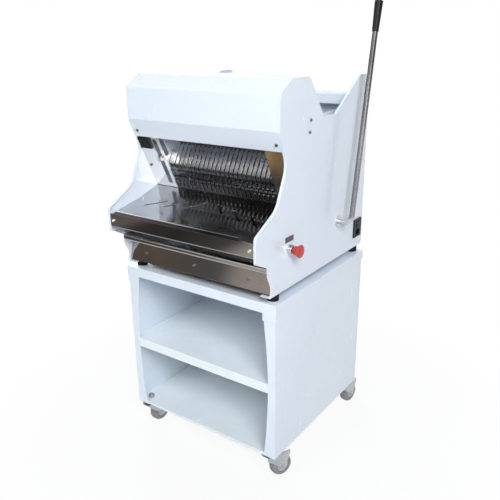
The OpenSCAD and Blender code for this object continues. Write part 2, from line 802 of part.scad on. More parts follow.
// Discharge tray, fascia and crumb drawer
tray_back = from_blades(-guard_gap - tray_sheet, guard_foot_z);
tray_knee_run = 80;
tray_knee_drop = 26;
tray_knee = [tray_back.x - tray_knee_run, tray_back.y - tray_knee_drop];
tray_front_gap = 7;
tray_hem_ahead = 0.2;
tray_fold_r = 2.4;
tray_front = [front_y + tray_front_gap, base_z + tray_front_h];
tray_lip_x = -10;
tray_slot_first = 50;
tray_slot_step = 72;
tray_slot_ahead = 5;
tray_slot_drift = 14;
tray_slot_angle = 42;
module discharge_tray() {
    lip_lean = 3;
    lip_top = [tray_front.x - lip_lean, tray_front.y + tray_lip_h];
    hem = [front_y - tray_hem_ahead - tray_sheet, lip_top.y];
    stub = 2 * tray_fold_r;
    hem_low = tray_front.y + stub + tray_sheet / 2;
    path = [tray_back, tray_knee, tray_front, lip_top, hem, [hem.x, hem_low]];
    tall = tray_back.y - tray_front.y + tray_lip_h;
    color("silver") difference() {
        along_x(seam_gap - inner_w, inner_w - seam_gap)
            polygon(sheet_of(rounded_path(path, tray_fold_r), tray_sheet));
        for (side = [-1, 1]) {
            for (k = [0:2])
                translate([side * (tray_slot_first + tray_slot_step * k),
                    tray_knee.x + tray_slot_ahead - tray_slot_drift * k, tray_front.y - tall / 2])
                    rotate([0, 0, -side * tray_slot_angle])
                        translate([-tray_slot_l / 2, -tray_slot_w / 2, 0])
                            cube([tray_slot_l, tray_slot_w, 2 * tall]);
            translate([tray_lip_x, hem.x - over, tray_front.y]) rotate([-90, 0, 0])
                linear_extrude(tray_front.x - hem.x + 2 * over)
                    polygon([[side * (tray_lip_l / 2), -tray_lip_h - over],
                        [side * (tray_lip_l / 2 + tray_lip_h), -stub], [side * machine_w, -stub],
                        [side * machine_w, -tray_lip_h - over]]);
        }
    }
}
module front_fascia() {
    hem_d = 10;
    hem_h = 9;
    top = base_z + fascia_top_h;
    low = top - fascia_h;
    path = [[front_y, top], [front_y, low], [front_y + hem_d, low], [front_y + hem_d, low + hem_h]];
    color("silver") along_x(-span_w, span_w) polygon(sheet_of(rounded_path(path, fold_r / 2), tray_sheet));
}
drawer_rise = 8;
drawer_top = on_panel(chin_share).y;
drawer_lift = 14;
drawer_low = base_top + drawer_lift;
drawer_clear = 4;
drawer_inset = 1.5;
drawer_roll_h = 21;
drawer_roll_d = 54;
drawer_roll_tip = 2;
drawer_roll_r = 8;
drawer_end_gap = 0.5;
drawer_face_lean = 14.4;
drawer_face_low = [on_panel(shin_share).x + casing_sheet + drawer_inset, base_top + drawer_clear];
function drawer_face_y(z) = drawer_face_low.x + (z - drawer_face_low.y) * tan(drawer_face_lean);
module crumb_drawer() {
    front = on_panel(chin_share).x;
    roll_low = drawer_top - drawer_roll_h;
    crease_z = roll_low + drawer_roll_tip;
    path = rounded_path([[front + drawer_roll_d, drawer_top], [front, drawer_top], [front, roll_low],
        [drawer_face_y(crease_z), crease_z], drawer_face_low], drawer_roll_r);
    pan_top = drawer_low + drawer_pan_h;
    pan_back = drawer_face_y(drawer_low) + drawer_pan_d;
    wall = 2 * tray_sheet;
    color("silver") {
        along_x(drawer_end_gap - inner_w, inner_w - drawer_end_gap) polygon(sheet_of(path, tray_sheet));
        difference() {
            along_x(-drawer_pan_w / 2, drawer_pan_w / 2)
                polygon([[drawer_face_y(drawer_low), drawer_low], [pan_back, drawer_low],
                    [pan_back, pan_top], [drawer_face_y(pan_top), pan_top]]);
            along_x(tray_sheet - drawer_pan_w / 2, drawer_pan_w / 2 - tray_sheet)
                polygon([[drawer_face_y(drawer_low + tray_sheet) + wall, drawer_low + tray_sheet],
                    [pan_back - tray_sheet, drawer_low + tray_sheet], [pan_back - tray_sheet, pan_top + over],
                    [drawer_face_y(pan_top + over) + wall, pan_top + over]]);
        }
    }
}
module screw_y(x, y, z) {
    translate([x, y, z]) rotate([90, 0, 0]) difference() {
        cylinder(d = screw_d, h = screw_head_h);
        translate([0, 0, screw_head_h / 2]) cylinder(d = screw_d / 2, h = screw_head_h, $fn = 6);
    }
}
drawer_screw_pitch = 207;
drawer_screw_h = 37;
drawer_screw_x = -10;
module drawer_screws() {
    z = base_z + drawer_screw_h;
    color("lightgray") for (k = [-1, 0, 1])
        translate([drawer_screw_x + k * drawer_screw_pitch, drawer_face_y(z), z])
            rotate([-drawer_face_lean, 0, 0]) screw_y(0, 0, 0);
}
module drawer_runners() {
    ledge = 12;
    t = 2;
    x_in = drawer_pan_w / 2 - ledge;
    x_out = drawer_pan_w / 2 + slide_gap;
    front = on_panel(shin_share).x + 2 * ledge;
    profile = [[x_in, drawer_low - slide_gap], [x_in, drawer_low - slide_gap - t],
        [x_out, drawer_low - slide_gap - t], [x_out, base_top], [x_out + t, base_top],
        [x_out + t, drawer_low + ledge], [x_out, drawer_low + ledge], [x_out, drawer_low - slide_gap]];
    color("silver") for (side = [0, 1])
        mirror([side, 0, 0]) translate([0, front + drawer_pan_d - 2 * ledge, 0]) rotate([90, 0, 0])
            linear_extrude(drawer_pan_d - 2 * ledge) polygon(profile);
}

// Hold-down comb
nose_place = [-46, 65.5];
comb_tail_l = 20;
comb_spine_h = 22;
comb_cheek_t = 3;
comb_ear_z = [92, 114];
comb_ear_t = 6;
comb_end_gap = 1;
comb_half = comb_w / 2 - comb_end_gap;
ear_front = guard_t - guard_gap + slide_gap;
ear_reach = 34;
module hold_down_comb() {
    r = nose_d / 2;
    nose = from_blades(nose_place.x, nose_place.y);
    turn_end = 250;
    bend = arc(nose, r, 180 - comb_lean, turn_end, 2 * arc_steps);
    top = bend[0] + comb_arm_l * [sin(comb_lean), cos(comb_lean)];
    tail = bend[len(bend) - 1] + comb_tail_l * [-sin(turn_end), cos(turn_end)];
    color("silver") {
        difference() {
            along_x(passage_x - comb_half, passage_x + comb_half)
                polygon(sheet_of(concat([top], bend, [tail]), comb_sheet));
            comb_slots([0, nose.x - 2 * nose_d, nose.y - 2 * nose_d],
                [0, top.x + nose_d, top.y - comb_spine_h]);
        }
        for (side = [0, 1])
            translate([passage_x, 0, 0]) mirror([side, 0, 0]) translate([-passage_x, 0, 0]) at_blades() {
                translate([comb_half - comb_cheek_t, 0, 0]) rotate([90, 0, 90]) linear_extrude(comb_cheek_t)
                    polygon([[ear_front, nose_place.y], [nose_place.x, nose_place.y],
                        [nose_place.x + r, comb_ear_z[0]], [nose_place.x + r, comb_ear_z[1]],
                        [ear_front, comb_ear_z[1]]]);
                box([comb_half - comb_cheek_t, ear_front, comb_ear_z[0]],
                    [comb_half + ear_reach, ear_front + comb_ear_t, comb_ear_z[1]]);
            }
    }
}
knob_d = 18;
knob_l = 8;
knob_edge = 2;
knob_stud_d = 12;
module hold_down_knob() {
    z = (comb_ear_z[0] + comb_ear_z[1]) / 2;
    washer_t = 2;
    washer_d = knob_d + 2 * knob_edge;
    color("silver") at_blades() translate([guard_slot_x, 0, z]) rotate([90, 0, 0]) {
        translate([0, 0, -ear_front]) cylinder(d = knob_stud_d, h = guard_gap + ear_front + slide_gap);
        translate([0, 0, guard_gap + slide_gap]) cylinder(d = washer_d, h = washer_t);
        translate([0, 0, guard_gap + slide_gap + washer_t]) cylinder(d = knob_d, h = knob_l);
    }
}

// Blade frames
module blade_frame(front, yoke_x) {
    y_low = front ? blade_front - beam_d : blade_front + blade_w + frame_play;
    y_high = y_low + beam_d;
    x = frame_bar_x + frame_bar_w;
    r = eccentric_d / 2;
    window_y = r + stroke + yoke_side_play;
    window_z = r + yoke_play;
    at_blades() {
        box([-x, y_low, beam_top_z], [x, y_high, beam_top_z + beam_h]);
        box([-x, y_low, beam_low_z - beam_h], [x, y_high, beam_low_z]);
        for (side = [0, 1])
            mirror([side, 0, 0]) {
                box([frame_bar_x, y_low, beam_low_z - beam_h], [x, y_high, beam_top_z + beam_h]);
                box([yoke_x - yoke_t / 2, y_low, crank_z + window_z],
                    [yoke_x + yoke_t / 2, y_high, beam_low_z]);
                translate([yoke_x - yoke_t / 2, crank_y, crank_z]) difference() {
                    box([0, -window_y - yoke_bar, -window_z - yoke_bar],
                        [yoke_t, window_y + yoke_bar, window_z + yoke_bar]);
                    box([-over, -window_y, -window_z], [yoke_t + over, window_y, window_z]);
                }
            }
    }
}
module blade_frame_front() {
    color("gray") blade_frame(true, front_yoke_x);
}
module blade_frame_back() {
    color("gray") blade_frame(false, back_yoke_x);
}
module blades(first, y_low) {
    color("lightgray") at_blades() for (i = [first:2:slot_count - 1])
        translate([slot_x(i), 0, 0])
            box([-blade_t / 2, y_low, beam_low_z - beam_h + blade_bite],
                [blade_t / 2, y_low + blade_w, beam_top_z + beam_h - blade_bite]);
}
module blades_front() {
    blades(0, blade_front);
}
module blades_back() {
    blades(1, blade_front + frame_play);
}
guide_wall = 6;
guide_spans = [[115, 150], [-34, -8]];
module frame_guides() {
    y_low = blade_front - beam_d;
    y_high = blade_front + blade_w + frame_play + beam_d;
    x_out = frame_bar_x + frame_bar_w;
    color("white") for (side = [0, 1])
        translate([passage_x, 0, 0]) mirror([side, 0, 0]) translate([-passage_x, 0, 0]) at_blades()
            for (span = guide_spans) difference() {
                box([wall_out, y_low - guide_wall, span[0]],
                    [x_out + guide_wall, y_high + guide_wall, span[1]]);
                for (y = [y_low, y_high - beam_d])
                    box([frame_bar_x - slide_gap, y - slide_gap, span[0] - over],
                        [x_out + slide_gap, y + beam_d + slide_gap, span[1] + over]);
            }
}

// Drive
module eccentrics(x, way) {
    for (side = [-1, 1])
        translate([side * x - eccentric_w / 2, crank_y + way * stroke, crank_z]) rotate([0, 90, 0])
            cylinder(d = eccentric_d, h = eccentric_w);
}
shaft_left = belt_x - pulley_w / 2 - shaft_end_gap / 4;
shaft_right = inner_w - shaft_end_gap;
module eccentric_shaft() {
    color("silver") {
        rod_x(shaft_left, shaft_right, crank_place.x, crank_place.y, crank_shaft_d);
        at_blades() {
            eccentrics(front_yoke_x, 1);
            eccentrics(back_yoke_x, -1);
        }
    }
}
module grooved_pulley(pitch_d, bore_d) {
    lip_r = pitch_d / 2 + pulley_lip;
    groove_r = pitch_d / 2 - belt_land - slide_gap;
    groove_w = belt_w + 2 * slide_gap;
    rotate([0, 90, 0]) difference() {
        rotate_extrude() polygon([[bore_d / 2, -pulley_w / 2], [lip_r, -pulley_w / 2], [lip_r, -groove_w / 2],
            [groove_r, -groove_w / 2], [groove_r, groove_w / 2], [lip_r, groove_w / 2],
            [lip_r, pulley_w / 2], [bore_d / 2, pulley_w / 2]]);
    }
}
module crank_pulley() {
    color("dimgray") translate([belt_x, crank_place.x, crank_place.y])
        grooved_pulley(crank_pulley_d, crank_shaft_d + 2 * run_gap);
}
bearing_left = belt_x + pulley_w / 2 + bearing_gap;
bearing_right = shaft_right - bearing_w - bearing_gap / 4;
module shaft_bearings() {
    top_d = crank_shaft_d + 2 * bearing_wall;
    color("dimgray") for (x = [bearing_left, bearing_right]) difference() {
        union() {
            box([x, crank_place.x - top_d / 2, base_top],
                [x + bearing_w, crank_place.x + top_d / 2, crank_place.y]);
            box([x, crank_place.x - bearing_d, base_top],
                [x + bearing_w, crank_place.x + bearing_d, base_top + bearing_wall / 2]);
            rod_x(x, x + bearing_w, crank_place.x, crank_place.y, top_d);
        }
        rod_x(x - over, x + bearing_w + over, crank_place.x, crank_place.y, crank_shaft_d + 2 * run_gap);
    }
}
module motor() {
    fin_count = 12;
    fin_w = 6;
    fin_h = 4;
    shield_l = 16;
    cap_d = motor_d * 0.9;
    box_w = 60;
    box_d = 50;
    box_h = 32;
    foot_w = motor_d * 0.9;
    shaft_in = motor_l / 2;
    color("steelblue") difference() {
        union() {
            rod_x(motor_x, motor_x + motor_l, motor_y, motor_z, motor_d - 2 * fin_h);
            rod_x(motor_x, motor_x + shield_l, motor_y, motor_z, cap_d + fin_h);
            rod_x(motor_x + motor_l - 2 * shield_l, motor_x + motor_l, motor_y, motor_z, motor_d);
            for (k = [0:fin_count - 1])
                translate([motor_x + shield_l / 2, motor_y, motor_z]) rotate([360 / fin_count * k, 0, 0])
                    translate([0, -fin_w / 2, 0]) cube([motor_l - 2 * shield_l, fin_w, motor_d / 2]);
            box([motor_x + shield_l, motor_y - foot_w / 2, base_top],
                [motor_x + motor_l - 2 * shield_l, motor_y + foot_w / 2, motor_z - motor_d / 2 + 2 * fin_h]);
            box([motor_x + shield_l, motor_y - box_d / 2, motor_z + motor_d / 2 - 2 * fin_h],
                [motor_x + shield_l + box_w, motor_y + box_d / 2, motor_z + motor_d / 2 + box_h]);
        }
        rod_x(motor_x - over, motor_x + shaft_in, motor_y, motor_z, motor_shaft_d + 2 * run_gap);
    }
}
module motor_pulley() {
    color("dimgray") {
        translate([belt_x, motor_y, motor_z]) grooved_pulley(motor_pulley_d, motor_shaft_d);
        rod_x(shaft_left, motor_x + motor_l / 2 - over, motor_y, motor_z, motor_shaft_d);
    }
}
// Outline of a loop drawn tight round two circles
belt_steps = 36;
function loop_round(a, ra, b, rb) =
    let (way = atan2(b.y - a.y, b.x - a.x),
         lean = acos((ra - rb) / norm(b - a)))
    concat(arc(a, ra, way + lean, way + 360 - lean, belt_steps),
        arc(b, rb, way - lean, way + lean, belt_steps));
module drive_belt() {
    motor_place = [motor_y, motor_z];
    inner_a = crank_pulley_d / 2 - belt_land;
    inner_b = motor_pulley_d / 2 - belt_land;
    color("black") along_x(belt_x - belt_w / 2, belt_x + belt_w / 2) difference() {
        polygon(loop_round(crank_place, inner_a + belt_t, motor_place, inner_b + belt_t));
        polygon(loop_round(crank_place, inner_a, motor_place, inner_b));
    }
}

// Lever and pusher
module lever_shaft() {
    socket_l = 30;
    color("silver") difference() {
        rod_x(seam_gap - inner_w, inner_w - bush_l - seam_gap, lever_y, lever_z, lever_shaft_d);
        rod_x(inner_w - bush_l - socket_l, inner_w, lever_y, lever_z, lever_d + 2 * run_gap);
    }
}
module lever_arms() {
    bore_d = lever_shaft_d + 2 * run_gap;
    color("gray") for (x = [passage_x - arm_side - arm_t, passage_x + arm_side])
        translate([0, lever_y, lever_z]) along_x(x, x + arm_t) rotate(-arm_lean) difference() {
            union() {
                circle(d = arm_w);
                translate([-arm_w / 2, 0]) square([arm_w, arm_slot_high]);
                translate([0, arm_slot_high]) circle(d = arm_w);
            }
            circle(d = bore_d);
            translate([-arm_slot_w / 2, arm_slot_low]) square([arm_slot_w, arm_slot_high - arm_slot_low]);
            for (z = [arm_slot_low, arm_slot_high]) translate([0, z]) circle(d = arm_slot_w);
        }
}
lever_up = [0, sin(lever_lean), cos(lever_lean)];
module lever_bar() {
    stub_l = 28;
    stub_from = inner_w - bush_l - stub_l;
    bar_x = half_w + lever_reach;
    length = lever_l + grip_l + lever_end_l;
    color("silver") {
        rod_x(stub_from, bar_x - lever_bend_r + over, lever_y, lever_z, lever_d);
        translate([bar_x - lever_bend_r, lever_y, lever_z]) rotate([-lever_lean, 0, 0])
            translate([0, 0, lever_bend_r]) rotate([90, 0, 0]) rotate([0, 0, -90])
                rotate_extrude(angle = 90) translate([lever_bend_r, 0]) circle(d = lever_d + 2 * elbow_wall);
        translate([bar_x, lever_y, lever_z]) rotate([-lever_lean, 0, 0])
            translate([0, 0, lever_bend_r - over]) cylinder(d = lever_d, h = length - lever_bend_r + over);
    }
}
module lever_grip() {
    color("black") translate([half_w + lever_reach, lever_y, lever_z]) rotate([-lever_lean, 0, 0])
        translate([0, 0, lever_l]) difference() {
            cylinder(d1 = grip_low_d, d2 = grip_top_d, h = grip_l);
            translate([0, 0, -over]) cylinder(d = lever_d + 2 * run_gap, h = grip_l + 2 * over);
        }
}
module lever_bearings() {
    sleeve_d = lever_d + 2 * bush_wall;
    color("white") {
        difference() {
            rod_x(seam_gap - inner_w, bush_l - inner_w, lever_y, lever_z, lever_shaft_d + 2 * bush_wall);
            rod_x(-inner_w, bush_l + over - inner_w, lever_y, lever_z, lever_shaft_d + 2 * run_gap);
        }
        difference() {
            union() {
                rod_x(inner_w - bush_l, half_w, lever_y, lever_z, sleeve_d);
                rod_x(half_w, half_w + bush_flange_t, lever_y, lever_z, bush_flange_d);
            }
            rod_x(inner_w - bush_l - over, half_w + bush_flange_t + over, lever_y, lever_z,
                lever_d + 2 * run_gap);
        }
    }
}
module pusher() {
    low = bed_z + pusher_lift;
    high = low + pusher_finger_h;
    face_low = from_blades(-pusher_past, (low - bed_z + pusher_past * sin(blade_tilt)) / cos(blade_tilt));
    face_high = from_blades(-pusher_past, (high - bed_z + pusher_past * sin(blade_tilt)) / cos(blade_tilt));
    back = pusher_y + pusher_back;
    reach = comb_w / 2 - finger_pitch / 2 + pusher_finger_w / 2;
    shoe_h = rail_h - 2 * slide_gap;
    color("silver") {
        for (k = [0:finger_count - 1])
            translate([passage_x + (k - (finger_count - 1) / 2) * finger_pitch, 0, 0])
                along_x(-pusher_finger_w / 2, pusher_finger_w / 2)
                    polygon([[face_low.x + pusher_travel, low], [back, low], [back, pusher_z + rail_h],
                        [pusher_y - 2 * pusher_back, high], [face_high.x + pusher_travel, high]]);
        box([passage_x - reach, pusher_y - pusher_back, pusher_z - rail_h / 2],
            [passage_x + reach, pusher_y + pusher_back, pusher_z + rail_h / 2]);
        for (side = [0, 1])
            translate([passage_x, 0, 0]) mirror([side, 0, 0])
                box([reach - over, pusher_y - shoe_l / 2, pusher_z - shoe_h / 2],
                    [wall_out + wall_gap, pusher_y + shoe_l / 2, pusher_z + shoe_h / 2]);
        rod_x(passage_x - arm_side - 2 * arm_t, passage_x + arm_side + 2 * arm_t, pusher_y, pusher_z,
            pusher_bar_d);
    }
}

// Controls
module stop_button() {
    cap_from = half_w + stop_collar_l + stop_travel + slide_gap;
    neck_r = stop_d * 0.34;
    neck_l = stop_cap_l * 0.28;
    rim_r = stop_cap_l * 0.14;
    face_rise = stop_cap_l * 0.08;
    face_r = stop_d / 2 - rim_r;
    dome_r = (pow(face_r, 2) + pow(face_rise, 2)) / (2 * face_rise);
    color("red") {
        rod_x(inner_w - stop_collar_l, cap_from + over, stop_y, stop_z, stop_stem_d);
        translate([cap_from, stop_y, stop_z]) rotate([0, 90, 0]) rotate_extrude()
            polygon(concat([[0, 0], [neck_r, 0], [neck_r, neck_l]],
                arc([face_r, stop_cap_l - face_rise - rim_r], rim_r, -45, 75, arc_steps),
                arc([0, stop_cap_l - dome_r], dome_r, acos(face_r / dome_r), 90, arc_steps)));
    }
}
module stop_body() {
    from = inner_w - stop_nut_t - stop_collar_l;
    color("silver") difference() {
        union() {
            rod_x(half_w, half_w + stop_collar_l, stop_y, stop_z, stop_collar_d);
            rod_x(from, half_w, stop_y, stop_z, stop_barrel_d);
            rod_x(inner_w - stop_nut_t, inner_w, stop_y, stop_z, stop_collar_d);
            box([from - stop_block.x, stop_y - stop_block.y / 2, stop_z - stop_block.z / 2],
                [from, stop_y + stop_block.y / 2, stop_z + stop_block.z / 2]);
        }
        rod_x(inner_w - 2 * stop_collar_l, half_w + stop_collar_l + over, stop_y, stop_z,
            stop_stem_d + 2 * run_gap);
    }
}
rocker_mid_z = inlet_mid_z + inlet_h / 4 - inlet_border / 2;
socket_mid_z = inlet_mid_z - inlet_h / 4 + inlet_border / 3;
module power_inlet() {
    w = inlet_w / 2;
    h = inlet_h / 2;
    pin_w = 4;
    pin_t = 2;
    pin_step = 7;
    pin_rise = 2;
    pin_half = rocker_w / 2 + rocker_pin_l;
    floor_x = half_w - socket_depth;
    color("black") {
        difference() {
            union() {
                box([half_w, inlet_y - w, inlet_mid_z - h],
                    [half_w + inlet_plate_t, inlet_y + w, inlet_mid_z + h]);
                box([half_w - inlet_depth, inlet_y - w + inlet_border, inlet_mid_z - h + inlet_border],
                    [half_w, inlet_y + w - inlet_border, inlet_mid_z + h - inlet_border]);
            }
            box([floor_x, inlet_y - socket_w / 2, socket_mid_z - socket_h / 2],
                [half_w + inlet_plate_t + over, inlet_y + socket_w / 2, socket_mid_z + socket_h / 2]);
            box([half_w - rocker_depth, inlet_y - rocker_w / 2, rocker_mid_z - rocker_h / 2],
                [half_w + inlet_plate_t + over, inlet_y + rocker_w / 2, rocker_mid_z + rocker_h / 2]);
            translate([half_w, inlet_y + pin_half + run_gap, rocker_mid_z]) rotate([90, 0, 0])
                cylinder(d = rocker_pin_d + 2 * run_gap, h = 2 * (pin_half + run_gap));
        }
        for (k = [-1, 0, 1])
            translate([floor_x, inlet_y + k * pin_step, socket_mid_z + (k == 0 ? pin_rise : -pin_rise)])
                translate([0, -pin_t / 2, -pin_w / 2]) cube([socket_depth, pin_t, pin_w]);
    }
}
module power_rocker() {
    w = rocker_w / 2 - rocker_gap;
    h = rocker_h / 2 - rocker_gap;
    depth = rocker_depth / 2;
    proud = 2;
    rise = inlet_plate_t + proud;
    dip = 1.5;
    pin_half = rocker_w / 2 + rocker_pin_l;
    color("dimgray") translate([half_w, inlet_y, rocker_mid_z]) rotate([90, 0, 0]) {
        translate([0, 0, -w]) linear_extrude(2 * w)
            polygon([[rise, h], [rise - dip, 0], [rise, -h], [0, -h],
                [-depth, -h / 2], [-depth, h / 2], [0, h]]);
        translate([0, 0, -pin_half]) cylinder(d = rocker_pin_d, h = 2 * pin_half);
    }
}

// Screws of the fixed covers
module screw_x(x, y, z) {
    translate([x, y, z]) rotate([0, 90, 0]) difference() {
        cylinder(d = screw_d, h = screw_head_h);
        translate([0, 0, screw_head_h / 2]) cylinder(d = screw_d / 2, h = screw_head_h, $fn = 6);
    }
}
module cover_screws() {
    end_inset = 13;
    fascia_drop = 23;
    fascia_z = base_z + fascia_top_h - fascia_drop;
    plate_screw_share = 0.38;
    slot_rise = 35;
    slot_behind = 5;
    tray_screw_gap = 8;
    rear_rows_shares = [0.08, 0.5, 0.92];
    screw_x_at = span_w - end_inset;
    tray_slope = atan2(tray_knee.y - tray_front.y, tray_knee.x - tray_front.x);
    color("dimgray") {
        for (side = [-1, 1]) {
            screw_y(side * screw_x_at, front_y, fascia_z);
            translate([side * screw_x_at - passage_x, 0, 0]) at_blades()
                translate([0, lip_plane, lip_screw_z]) rotate([90, 0, 0])
                    cylinder(d = screw_d, h = screw_head_h);
            for (s = rear_rows_shares)
                translate([side * screw_x_at, back_y - casing_sheet - seam_gap, base_top + s * rear_cover_h])
                    rotate([-90, 0, 0]) cylinder(d = screw_d, h = screw_head_h);
            translate([side * screw_x_at, tray_knee.x, tray_knee.y]) rotate([tray_slope, 0, 0])
                translate([0, -tray_screw_gap, 0]) cylinder(d = screw_d, h = screw_head_h);
        }
        at_blades() translate([end_inset - inner_w - passage_x, -guard_gap, lip_foot_z * plate_screw_share])
            rotate([90, 0, 0]) cylinder(d = screw_d, h = screw_head_h);
        for (side = [0, 1])
            mirror([side, 0, 0]) {
                screw_x(half_w, spacer_front_y, spacer_high_z);
                screw_x(half_w, spacer_front_y + slot_behind, spacer_high_z + slot_rise);
            }
    }
}

in_frame() stand_lid();
in_frame() stand_side_left();
in_frame() stand_side_right();
in_frame() stand_back();
in_frame() stand_shelf();
in_frame() stand_floor();
in_frame() castor_heads();
in_frame() castor_bolts();
in_frame() castor_fork_front_right();
in_frame() castor_fork_front_left();
in_frame() castor_fork_rear_right();
in_frame() castor_fork_rear_left();
in_frame() castor_wheel_front_right();
in_frame() castor_wheel_front_left();
in_frame() castor_wheel_rear_right();
in_frame() castor_wheel_rear_left();
in_frame() machine_feet();
in_frame() base_pan();
in_frame() side_panel_left();
in_frame() side_panel_right();
in_frame() rear_cover();
in_frame() front_hood();
in_frame() chute_front_wall();
in_frame() channel_wall_left();
in_frame() channel_wall_right();
in_frame() wall_spacers();
in_frame() bread_bed();
in_frame() outfeed_comb();
in_frame() guard_plate_left();
in_frame() guard_plate_right();
in_frame() guard_switch();
in_frame() discharge_tray();
in_frame() front_fascia();
in_frame() crumb_drawer();
in_frame() drawer_screws();
in_frame() drawer_runners();
in_frame() hold_down_comb();
in_frame() hold_down_knob();
in_frame() blade_frame_front();
in_frame() blade_frame_back();
in_frame() blades_front();
in_frame() blades_back();
in_frame() frame_guides();
in_frame() eccentric_shaft();
in_frame() crank_pulley();
in_frame() shaft_bearings();
in_frame() motor();
in_frame() motor_pulley();
in_frame() drive_belt();
in_frame() lever_shaft();
in_frame() lever_arms();
in_frame() lever_bar();
in_frame() lever_grip();
in_frame() lever_bearings();
in_frame() pusher();
in_frame() stop_button();
in_frame() stop_body();
in_frame() power_inlet();
in_frame() power_rocker();
in_frame() cover_screws();
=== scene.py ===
import json
import math

import bmesh
import bpy
from mathutils import Matrix, Vector


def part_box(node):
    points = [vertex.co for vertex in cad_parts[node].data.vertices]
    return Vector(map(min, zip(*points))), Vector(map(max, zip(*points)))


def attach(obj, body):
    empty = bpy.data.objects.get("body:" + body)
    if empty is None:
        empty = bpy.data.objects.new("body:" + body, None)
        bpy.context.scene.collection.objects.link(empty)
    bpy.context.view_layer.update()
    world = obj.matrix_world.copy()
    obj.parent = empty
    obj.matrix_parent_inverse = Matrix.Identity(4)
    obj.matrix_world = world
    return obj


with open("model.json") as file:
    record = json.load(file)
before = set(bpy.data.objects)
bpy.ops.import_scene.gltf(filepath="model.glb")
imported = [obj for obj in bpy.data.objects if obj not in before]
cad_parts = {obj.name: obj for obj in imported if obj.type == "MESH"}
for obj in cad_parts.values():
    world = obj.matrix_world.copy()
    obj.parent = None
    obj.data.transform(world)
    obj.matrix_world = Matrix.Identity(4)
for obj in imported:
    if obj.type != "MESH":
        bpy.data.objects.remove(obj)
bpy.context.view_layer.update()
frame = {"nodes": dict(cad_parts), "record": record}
nodes = frame["nodes"]
record = frame["record"]
scene = bpy.context.scene

# The stand's own axes, in mm, to the row's frame in metres
SHIFT_X = -22.25
SHIFT_Y = 22.25015
MM_PER_M = 1000


def at(x, y, z):
    return Vector(((x + SHIFT_X) / MM_PER_M, (y + SHIFT_Y) / MM_PER_M, z / MM_PER_M))


# Camera, its turns in radians and its lens and sensor in mm
YAW = math.radians(35.137)
PITCH = math.radians(19.586)
ROLL = -0.009195
LENS = 43.52
SENSOR = 36
CLIP_END = 60
CAMERA_PLACE = at(1160.15, -1639.16, 1383.17)

level = Vector((math.cos(YAW), math.sin(YAW), 0))
ahead = Vector((-math.sin(YAW) * math.cos(PITCH), math.cos(YAW) * math.cos(PITCH), -math.sin(PITCH)))
over_head = level.cross(ahead)
side = level * math.cos(ROLL) + over_head * math.sin(ROLL)
upright = over_head * math.cos(ROLL) - level * math.sin(ROLL)
camera_data = bpy.data.cameras.new("camera")
camera_data.lens = LENS
camera_data.sensor_width = SENSOR
camera_data.clip_end = CLIP_END
camera = bpy.data.objects.new("camera", camera_data)
scene.collection.objects.link(camera)
turn = Matrix((side, upright, -ahead)).transposed().to_4x4()
camera.matrix_world = Matrix.Translation(CAMERA_PLACE) @ turn
scene.camera = camera
scene.view_settings.view_transform = "Standard"


# Node helpers
BEVEL_SAMPLES = 4
# Cosines between the rounded and the true normal where an edge starts and where it is full
EDGE_BAND = (0.985, 0.80)


def add_node(tree, kind, values=None, **settings):
    """A new node, with its settings and the values of its inputs."""
    node = tree.nodes.new(kind)
    for key, value in settings.items():
        setattr(node, key, value)
    for key, value in (values or {}).items():
        node.inputs[key].default_value = value
    return node


